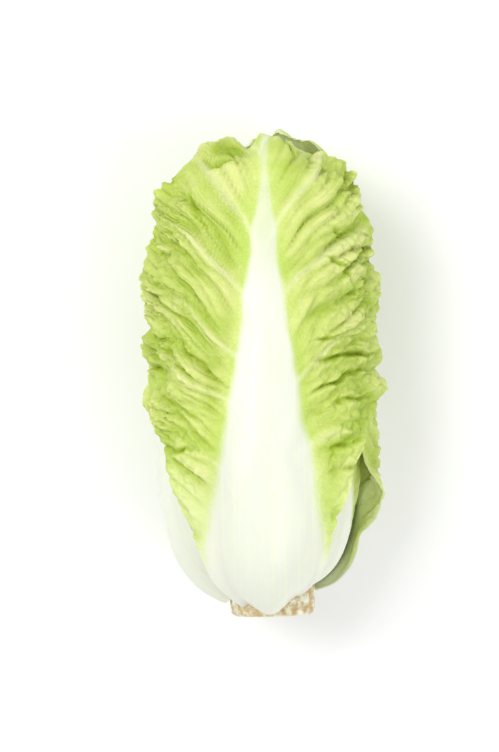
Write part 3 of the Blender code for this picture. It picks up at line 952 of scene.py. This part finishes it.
def leaf_skin_group():
    """The skin of a cabbage leaf: white midrib, green blade, pale veins and fine cells."""
    group = bpy.data.node_groups.get("leaf_skin")
    if group:
        return group
    group = bpy.data.node_groups.new("leaf_skin", "ShaderNodeTree")
    for name in SKIN_COLOURS:
        group.interface.new_socket(name, in_out="INPUT", socket_type="NodeSocketColor")
    for name in ("Vein Width", "Crease Shade Depth", "Margin Depth of Colour"):
        group.interface.new_socket(name, in_out="INPUT", socket_type="NodeSocketFloat")
    for name, kind in (("Color", "Color"), ("Roughness", "Float"), ("Height", "Float")):
        group.interface.new_socket(name, in_out="OUTPUT", socket_type="NodeSocket" + kind)
    given = add_node(group, "NodeGroupInput", (-1600, 0)).outputs
    result = add_node(group, "NodeGroupOutput", (900, 0)).inputs

    names = (
        "streak_across", "streak_along", "pale", "inside", "white", "crease_shade", "margin", "vein_turns",
        "across", "raised", "crinkled", "reach",
    )
    mark = {name: mark_node(group, name, (-1900, 1400 - 200 * row)) for row, name in enumerate(names)}
    white, across = mark["white"], mark["across"]

    # Mottled blade: paler and deeper patches, a highlight painted on the raised crests, shade painted into
    # the creases, and a deeper green at the margin
    patches = noise_node(group, (-1100, 300), *PATCH_NOISE)
    patches = range_node(group, (-900, 300), patches, *PATCH_RANGE)
    # The raised crests are painted paler, as a highlight
    puffed = math_node(group, "MULTIPLY", (-1100, 100), mark["raised"], CREST_HIGHLIGHT_SHARE)
    patches = math_node(group, "ADD", (-800, 200), patches, puffed, True)
    blade = mix_node(group, (-700, 300), patches, given["Blade Colour"], given["Pale Patch and Highlight Colour"])
    blade = mix_node(group, (-600, 500), mark["pale"], blade, given["Base Blade Colour"])
    crease_shade_depth, margin_depth = given["Crease Shade Depth"], given["Margin Depth of Colour"]
    painted_crease_shade = math_node(group, "MULTIPLY", (-900, -300), mark["crease_shade"], crease_shade_depth, True)
    near_margin = math_node(group, "MULTIPLY", (-900, -500), mark["margin"], margin_depth, True)
    deep = math_node(group, "MAXIMUM", (-700, -400), painted_crease_shade, near_margin)
    blade = mix_node(group, (-500, 300), deep, blade, given["Deep Green and Shade Colour"])

    # Side veins: a pale line at each whole turn, thinner towards the margin
    off_vein = math_node(group, "PINGPONG", (-900, -700), mark["vein_turns"], 0.5)
    narrowing = range_node(group, (-900, -900), across, *VEIN_NARROWING)
    width = math_node(group, "MULTIPLY", (-700, -900), given["Vein Width"], narrowing)
    vein = range_node(group, (-500, -700), off_vein, width, 0.0)
    fading = range_node(group, (-500, -900), across, *VEIN_FADING)
    vein = math_node(group, "MULTIPLY", (-300, -700), vein, fading)
    blade = mix_node(group, (-100, 300), vein, blade, given["Vein Colour"])
    # The paler inner face, lightened further to make up for the shade that falls on it
    inside = math_node(group, "MULTIPLY", (-100, 500), mark["inside"], INNER_FACE_AND_LIGHT_SHARE)
    blade = mix_node(group, (50, 400), inside, blade, given["Inner Face and Light Colour"])

    # Fibres run along the midrib
    streak = (mark["streak_across"], mark["streak_along"])
    lengthwise = stretched_pair(group, (-1300, 700), *streak, FIBRE_SCALE)
    fibres = stretched_noise(group, (-900, 700), lengthwise, FIBRE_DETAIL)
    streaks = range_node(group, (-700, 700), fibres, *FIBRE_RANGE)
    rib = mix_node(group, (-500, 600), streaks, given["Rib Colour"], given["Rib Streak"])
    group.links.new(mix_node(group, (200, 300), white, blade, rib), result["Color"])

    # Fine crinkles drawn out along the side veins
    drawn_out = stretched_pair(group, (-1300, -1700), mark["vein_turns"], mark["reach"], CRINKLE_SCALE)
    inputs = {"Vector": drawn_out, "Scale": 1.0, "Randomness": CRINKLE_RANDOMNESS}
    creases = add_node(group, "ShaderNodeTexVoronoi", (-900, -1700), inputs, feature="DISTANCE_TO_EDGE")
    crinkle = range_node(group, (-700, -1700), creases.outputs["Distance"], *CRINKLE_RANGE)
    crinkle = math_node(group, "MULTIPLY", (-500, -1700), crinkle, mark["crinkled"])

    # Fine cells in the blade, fibres on the smoother midrib
    inputs = {"Vector": object_place(group, (-700, -1200)), "Scale": CELL_SCALE}
    cells = add_node(group, "ShaderNodeTexVoronoi", (-500, -1200), inputs, feature="DISTANCE_TO_EDGE")
    net = range_node(group, (-300, -1200), cells.outputs["Distance"], *CELL_RANGE)
    fine = math_node(group, "ADD", (-100, -1200), net, noise_node(group, (-300, -1400), *GRAIN_NOISE))
    fine = math_node(group, "MULTIPLY", (0, -1200), fine, FINE_HEIGHT)
    crinkle = math_node(group, "MULTIPLY", (0, -1400), crinkle, CRINKLE_HEIGHT)
    height = math_node(group, "ADD", (50, -1300), fine, crinkle)
    off_rib = math_node(group, "SUBTRACT", (-100, -1000), 1.0, white, True)
    height = math_node(group, "MULTIPLY", (100, -1200), height, off_rib)
    raised_vein = math_node(group, "MULTIPLY", (100, -900), vein, VEIN_HEIGHT)
    height = math_node(group, "ADD", (300, -1000), height, raised_vein)
    rib_fibres = math_node(group, "MULTIPLY", (100, -700), fibres, white)
    rib_fibres = math_node(group, "MULTIPLY", (200, -700), rib_fibres, FIBRE_HEIGHT)
    group.links.new(math_node(group, "ADD", (500, -900), height, rib_fibres), result["Height"])
    group.links.new(range_node(group, (300, -300), white, *SKIN_ROUGHNESS), result["Roughness"])
    return group


def new_material(name):
    """A material with its node tree and shader."""
    material = bpy.data.materials.new(name)
    material.use_nodes = True
    return material, material.node_tree, material.node_tree.nodes["Principled BSDF"]


def finish_shader(tree, shader, colour, roughness, height, bump, glow):
    """Links what varies to the shader, and lets some light into the flesh."""
    inputs = {"Height": height, "Strength": bump[0], "Distance": bump[1]}
    normal = add_node(tree, "ShaderNodeBump", (-250, -250), inputs).outputs["Normal"]
    for name, socket in (("Base Color", colour), ("Roughness", roughness), ("Normal", normal)):
        tree.links.new(socket, shader.inputs[name])
    for name, value in zip(("Weight", "Radius", "Scale"), glow):
        shader.inputs["Subsurface " + name].default_value = value


def leaf_material(name, look, margin_depth, crease_shade_depth):
    """Waxy leaf with a little light through it."""
    material, tree, shader = new_material(name)
    inputs = {socket: (*getattr(look, setting), 1.0) for socket, setting in SKIN_COLOURS.items()}
    inputs["Vein Width"] = VEIN_WIDTH
    inputs["Crease Shade Depth"] = crease_shade_depth
    inputs["Margin Depth of Colour"] = margin_depth
    skin = add_node(tree, "ShaderNodeGroup", (-500, 0), node_tree=leaf_skin_group())
    for socket, value in inputs.items():
        skin.inputs[socket].default_value = value
    skin = skin.outputs
    finish_shader(tree, shader, skin["Color"], skin["Roughness"], skin["Height"], SKIN_BUMP, SKIN_GLOW)
    return material


def plain_material(name, colour, roughness):
    """One colour and roughness all over."""
    material, _, shader = new_material(name)
    shader.inputs["Base Color"].default_value = (*colour, 1.0)
    shader.inputs["Roughness"].default_value = roughness
    return material


def length_setting(name, description, default, highest):
    """A setting for a length in metres."""
    return FloatProperty(
        name=name, description=description, default=default, min=0.0, max=highest, unit="LENGTH",
    )


def colour_setting(name, description, default):
    """A setting for a colour."""
    return FloatVectorProperty(
        name=name, description=description, default=default, subtype="COLOR", min=0.0, max=1.0,
    )


def power_setting(name, description, default):
    """A setting for a light's power."""
    return FloatProperty(
        name=name, description=description, default=default, min=0.0, max=500.0, subtype="POWER",
    )


class CabbageLeafLook(bpy.types.PropertyGroup):
    """Sizes and colours of the wrapper leaves."""

    pleat_height: length_setting("Pleat height", "How high the broad pleats stand", 0.0020, 0.01)
    large_pillow_height: length_setting(
        "Large pillow height", "How high the blade puffs up between its main creases", 0.0024, 0.01,
    )
    small_pillow_height: length_setting(
        "Small pillow height", "How high the blade puffs up between its lesser creases", 0.0021, 0.01,
    )
    pucker_height: length_setting(
        "Pucker height", "How high the small puckers near the margin stand", 0.0016, 0.004,
    )
    wrinkle_height: length_setting("Wrinkle height", "How high the finest wrinkles stand", 0.00035, 0.002)
    cord_height: length_setting("Vein height", "How high the side veins stand as cords", 0.0006, 0.003)
    groove_height: length_setting(
        "Groove depth", "Depth of the shallow grooves along the midrib", 0.0004, 0.002,
    )
    frill_height: length_setting(
        "Frill height", "How far the margin stands off in broad frills", 0.0044, 0.01,
    )
    ruffle_height: length_setting(
        "Ruffle height", "How far the margin's fine ruffles stand off", 0.0027, 0.01,
    )
    blade_colour: colour_setting("Blade", "Colour of the green blade", (0.525, 0.68, 0.122))
    # The paler patches, and the highlight painted on the raised crests
    pale_patch_and_highlight_colour: colour_setting("Pale blade", "Colour of the blade's paler patches", (0.70, 0.78, 0.26))
    # The deeper green of the frilled margin, and the shade painted into the creases, folds and pockets
    deep_green_and_shade_colour: colour_setting(
        "Creases", "Colour of the creases and the frilled margin", (0.36, 0.50, 0.028),
    )
    vein_colour: colour_setting("Side veins", "Colour of the side veins", (0.76, 0.82, 0.40))
    base_colour: colour_setting(
        "Base of the blade", "Colour of the blade beside the stalk", (0.75, 0.84, 0.47),
    )
    # The paler inner face, lightened further to make up for the shade that falls on it
    inner_face_and_light_colour: colour_setting("Inner face", "Colour of the leaf's inner face", (0.84, 0.89, 0.60))
    rib_colour: colour_setting("Midrib", "Colour of the broad midrib", (0.76, 0.785, 0.675))
    streak_colour: colour_setting(
        "Midrib streaks", "Colour of the fibres that show through the midrib", (0.81, 0.85, 0.60),
    )


class CabbageStemLook(bpy.types.PropertyGroup):
    """Colours of the cut stem."""

    pith_colour: colour_setting("Pith", "Colour of the cut face", (0.80, 0.80, 0.58))
    pale_pith_colour: colour_setting(
        "Pale pith", "Colour of the cut face's moist patches", (0.88, 0.88, 0.74),
    )
    bundle_colour: colour_setting("Bundles", "Colour of the ring of vascular bundles", (0.62, 0.58, 0.28))
    dry_colour: colour_setting("Dry rim", "Colour where the cut has dried and browned", (0.52, 0.36, 0.15))


class CabbageStageLook(bpy.types.PropertyGroup):
    """The floor and the lights."""

    floor_colour: colour_setting("Floor", "Colour of the floor", (0.94, 0.94, 0.94))
    key_power: power_setting("Key light", "Power of the large soft light", 13.4)
    fill_power: power_setting("Fill light", "Power of the light on the other side", 8.4)
    sky_strength: FloatProperty(
        name="Surround", description="Strength of the even light from all sides",
        default=0.64, min=0.0, max=10.0,
    )


class CABBAGE_OT_leaves(bpy.types.Operator):
    """Add the wrapper leaves, from the outermost to the innermost"""

    bl_idname = "cabbage.leaves"
    bl_label = "Add wrapper leaves"

    def execute(self, context):
        look = context.scene.cabbage_leaf_look
        outer = leaf_material("outer_leaf_skin", look, *OUTER_GREEN_AND_SHADE_DEPTHS)
        inner = leaf_material("inner_leaf_skin", look, *INNER_GREEN_AND_SHADE_DEPTHS)
        for leaf in LEAVES:
            is_outer = leaf.rank < OUTER_SKINNED
            piece = add_leaf(leaf, look, outer if is_outer else inner)
        return {"FINISHED"}


class CABBAGE_OT_heart(bpy.types.Operator):
    """Add the heart, with the edges of its own packed leaves wound round it"""

    bl_idname = "cabbage.heart"
    bl_label = "Add heart"

    def execute(self, context):
        mesh = bmesh.new()
        bmesh.ops.create_uvsphere(mesh, u_segments=HEART_SIDES, v_segments=HEART_RINGS, radius=1.0)
        x, y, z = vertex_array(mesh).T
        phi, theta = np.arccos(np.clip(z, -1.0, 1.0)), np.arctan2(x, y)
        winding = np.mod(theta / (2.0 * math.pi) * HEART_FOLDS + HEART_FOLD_TWIST * phi, 1.0)
        fold = smooth_step(*HEART_FOLD_RISE, winding) * smooth_step(*HEART_FOLD_DROP, winding)
        away_from_ends = smooth_step(0.0, HEART_SMOOTH_ENDS, np.sin(phi))
        none = np.zeros_like(phi)
        spot = over_heart(phi, theta, none)
        turns = HEART_PLEATS * (HEART_PLEAT_SLANT * winding + phi)
        pucker = np.sqrt(smooth_step(0.0, PUCKER_SHARPNESS, pillows(spot / PUCKER_SIZE, HEART_SEED)))
        sunk = HEART_FOLD_DEPTH * (1.0 - fold) + HEART_PUCKER_DEPTH * (1.0 - pucker)
        points = over_heart(phi, theta, -sunk * away_from_ends)
        marks = {
            "white": smooth_step(*HEART_WHITE_BASE, phi) + smooth_step(*HEART_WHITE_FOLD, winding),
            "margin": none,
            "crease_shade": 1.0 - pucker,
            # Shade painted into the hollows between the puckers
            "vein_turns": turns,
            "across": winding,
            "streak_across": theta * HEART_RADIUS,
            "streak_along": phi * HEART_HALF_LENGTH,
            # A highlight painted on the puckers' crests
            "raised": pucker,
            "crinkled": HEART_CRINKLED + none,
            "reach": HEART_RADIUS * theta,
            "pale": HEART_PALE + none,
            "inside": none,
        }
        material = leaf_material("heart_skin", context.scene.cabbage_leaf_look, *HEART_GREEN_AND_SHADE_DEPTHS)
        piece = finished_piece("heart_folds", mesh, points, marks, material)
        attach(piece, "root")
        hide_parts("heart")
        return {"FINISHED"}


def stem_material(name, look):
    """The cut stem: cream pith, a ring of vascular dots, and a drier, browner rim and side."""
    material, tree, shader = new_material(name)
    from_axis = mark_node(tree, "from_axis", (-1500, 300))
    turn = mark_node(tree, "turn", (-1500, 100))

    # Vascular bundles: short pale-brown dashes in a ring, from noise stretched outwards
    polar = stretched_pair(tree, (-1300, 200), from_axis, turn, BUNDLE_SCALE)
    bundles = stretched_noise(tree, (-900, 200), polar, STEM_DETAIL)
    dashes = range_node(tree, (-700, 200), bundles, *BUNDLE_RANGE)
    inside = range_node(tree, (-900, 0), from_axis, *RING_INSIDE)
    outside = range_node(tree, (-900, -200), from_axis, *RING_OUTSIDE)
    ring = math_node(tree, "MULTIPLY", (-700, -100), inside, outside)
    dashes = math_node(tree, "MULTIPLY", (-500, 100), dashes, ring)

    mottling = range_node(tree, (-700, 500), noise_node(tree, (-900, 500), *MOTTLING_NOISE), *MOTTLING_RANGE)
    colour = mix_node(tree, (-300, 400), mottling, (*look.pith_colour, 1.0), (*look.pale_pith_colour, 1.0))
    colour = mix_node(tree, (-100, 300), dashes, colour, (*look.bundle_colour, 1.0))
    dry = range_node(tree, (-700, -400), from_axis, *DRY_RIM)
    patches = range_node(tree, (-700, -600), noise_node(tree, (-900, -600), *DRY_NOISE), *DRY_RANGE)
    dry = math_node(tree, "MULTIPLY", (-500, -400), dry, patches)
    colour = mix_node(tree, (100, 300), dry, colour, (*look.dry_colour, 1.0))

    # Strokes of the knife over the cut, and fine grain
    inputs = {
        "Vector": object_place(tree, (-1100, -900)), "Rotation": STROKE_TURN, "Scale": STROKE_SCALE,
    }
    slanted = add_node(tree, "ShaderNodeMapping", (-900, -900), inputs).outputs[0]
    strokes = stretched_noise(tree, (-700, -900), slanted, STEM_DETAIL)
    relief = math_node(tree, "ADD", (-500, -900), strokes, bundles)
    roughness = range_node(tree, (100, -200), mottling, *STEM_ROUGHNESS)
    finish_shader(tree, shader, colour, roughness, relief, STEM_BUMP, STEM_GLOW)
    return material


class CABBAGE_OT_stem(bpy.types.Operator):
    """Add the stump under the heart, cut straight across, with the scars of leaves that have gone"""

    bl_idname = "cabbage.stem"
    bl_label = "Add cut stem"

    def execute(self, context):
        lowest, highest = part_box("stem")
        middle_x, middle_z = 0.5 * (lowest[0] + highest[0]), 0.5 * (lowest[2] + highest[2])
        mesh = bmesh.new()
        bmesh.ops.create_uvsphere(mesh, u_segments=STEM_SIDES, v_segments=STEM_RINGS, radius=1.0)
        x, y, z = vertex_array(mesh).T
        turn, down = np.arctan2(x, y), np.arccos(np.clip(z, -1.0, 1.0)) / math.pi

        # The first share of the rings is the cut, then the bevel, the side, and the top inside the head
        shares, bevel = (0.0, *STEM_RING_SHARES, 1.0), STEM_RING_SHARES[1]
        length = highest[1] - lowest[1]
        from_axis = np.interp(down, shares, (0.0, 1.0 - STEM_BEVEL / STEM_RADIUS, 1.0, 1.0, 0.0))
        height = np.interp(down, shares, (0.0, 0.0, STEM_BEVEL, length, length))
        rise = height / length
        radius = blend(STEM_RADIUS, STEM_TOP_RADIUS, smooth_step(STEM_TAPER_FROM, 1.0, rise))
        ring = STEM_UNEVEN_WAVES * np.stack([np.sin(turn), np.cos(turn)], axis=1)
        uneven = ripple(ring, STEM_SEED)
        up = height[:, None] / STEM_SCAR_SPACING
        scars = ripple(np.concatenate([STEM_SCAR_WAVES * ring, up], axis=1), STEM_SEED + 1)
        on_side = smooth_step(0.0, STEM_SCAR_FADE, rise)
        radius = radius * (1.0 + STEM_UNEVENNESS * uneven) + STEM_SCAR_HEIGHT * scars * on_side
        dish = STEM_DISH * smooth_step(1.0, 0.0, from_axis) * (down <= bevel)
        points = np.stack([
            middle_x + from_axis * radius * np.sin(turn),
            lowest[1] + height + dish,
            middle_z + from_axis * radius * np.cos(turn) * DEPTH_TO_WIDTH,
        ], axis=1)
        marks = {"from_axis": np.where(down <= bevel, from_axis, 1.0), "turn": turn}
        material = stem_material("stem_skin", context.scene.cabbage_stem_look)
        piece = finished_piece("stem_cut", mesh, points, marks, material)
        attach(piece, "root")
        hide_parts("stem")
        return {"FINISHED"}


class CABBAGE_OT_stage(bpy.types.Operator):
    """Add the floor, the lights and the camera"""

    bl_idname = "cabbage.stage"
    bl_label = "Add stage"

    def execute(self, context):
        look = context.scene.cabbage_stage_look
        scene = context.scene
        mesh = bmesh.new()
        bmesh.ops.create_grid(mesh, x_segments=1, y_segments=1, size=FLOOR_HALF_SIZE)
        data = bpy.data.meshes.new("floor")
        mesh.to_mesh(data)
        mesh.free()
        data.materials.append(plain_material("floor_paper", look.floor_colour, FLOOR_ROUGHNESS))
        floor = bpy.data.objects.new("floor", data)
        scene.collection.objects.link(floor)

        middle = Vector((0.0, 0.0, AXIS_HEIGHT))
        for name, power, size, place in (
            ("key_light", look.key_power, *KEY_LIGHT),
            ("fill_light", look.fill_power, *FILL_LIGHT),
        ):
            light = bpy.data.lights.new(name, "AREA")
            light.energy, light.size = power, size
            holder = bpy.data.objects.new(name, light)
            holder.location = place
            holder.rotation_euler = (middle - Vector(place)).to_track_quat("-Z", "Y").to_euler()
            scene.collection.objects.link(holder)

        world = bpy.data.worlds.new("surround")
        world.use_nodes = True
        background = world.node_tree.nodes["Background"]
        background.inputs["Color"].default_value = (1.0, 1.0, 1.0, 1.0)
        background.inputs["Strength"].default_value = look.sky_strength
        scene.world = world
        scene.view_settings.view_transform = "Standard"

        # The head's middle stands at HEAD_PIXEL, so the view's middle is off it by the rest
        right = (0.5 * FRAME_WIDTH - HEAD_PIXEL[0]) / PIXELS_PER_METRE
        up = (HEAD_PIXEL[1] - 0.5 * FRAME_HEIGHT) / PIXELS_PER_METRE
        turned = (
            right * math.cos(CAMERA_ROLL) - up * math.sin(CAMERA_ROLL),
            right * math.sin(CAMERA_ROLL) + up * math.cos(CAMERA_ROLL),
        )
        lens = bpy.data.cameras.new("camera")
        lens.sensor_fit = "VERTICAL"
        lens.sensor_height = SENSOR_HEIGHT
        lens.lens = SENSOR_HEIGHT * CAMERA_HEIGHT * PIXELS_PER_METRE / FRAME_HEIGHT
        camera = bpy.data.objects.new("camera", lens)
        camera.location = (turned[0], turned[1], AXIS_HEIGHT + CAMERA_HEIGHT)
        camera.rotation_euler = (0.0, 0.0, CAMERA_ROLL)
        scene.collection.objects.link(camera)
        scene.camera = camera
        return {"FINISHED"}


class CABBAGE_PT_panel(bpy.types.Panel):
    """The steps that build the cabbage, in order"""

    bl_label = "Napa Cabbage"
    bl_idname = "CABBAGE_PT_panel"
    bl_space_type = "VIEW_3D"
    bl_region_type = "UI"
    bl_category = "Cabbage"

    def draw(self, context):
        for step in STEPS:
            self.layout.operator(step.bl_idname)


STEPS = (CABBAGE_OT_leaves, CABBAGE_OT_heart, CABBAGE_OT_stem, CABBAGE_OT_stage)
CLASSES = (CabbageLeafLook, CabbageStemLook, CabbageStageLook, *STEPS, CABBAGE_PT_panel)


def register():
    for kind in CLASSES:
        bpy.utils.register_class(kind)
    bpy.types.Scene.cabbage_leaf_look = PointerProperty(type=CabbageLeafLook)
    bpy.types.Scene.cabbage_stem_look = PointerProperty(type=CabbageStemLook)
    bpy.types.Scene.cabbage_stage_look = PointerProperty(type=CabbageStageLook)


def unregister():
    del bpy.types.Scene.cabbage_leaf_look
    del bpy.types.Scene.cabbage_stage_look
    del bpy.types.Scene.cabbage_stem_look
    for kind in reversed(CLASSES):
        bpy.utils.unregister_class(kind)


def main():
    register()
    bpy.ops.cabbage.leaves()
    bpy.ops.cabbage.heart()
    bpy.ops.cabbage.stem()
    bpy.ops.cabbage.stage()


if __name__ == "__main__":
    main()
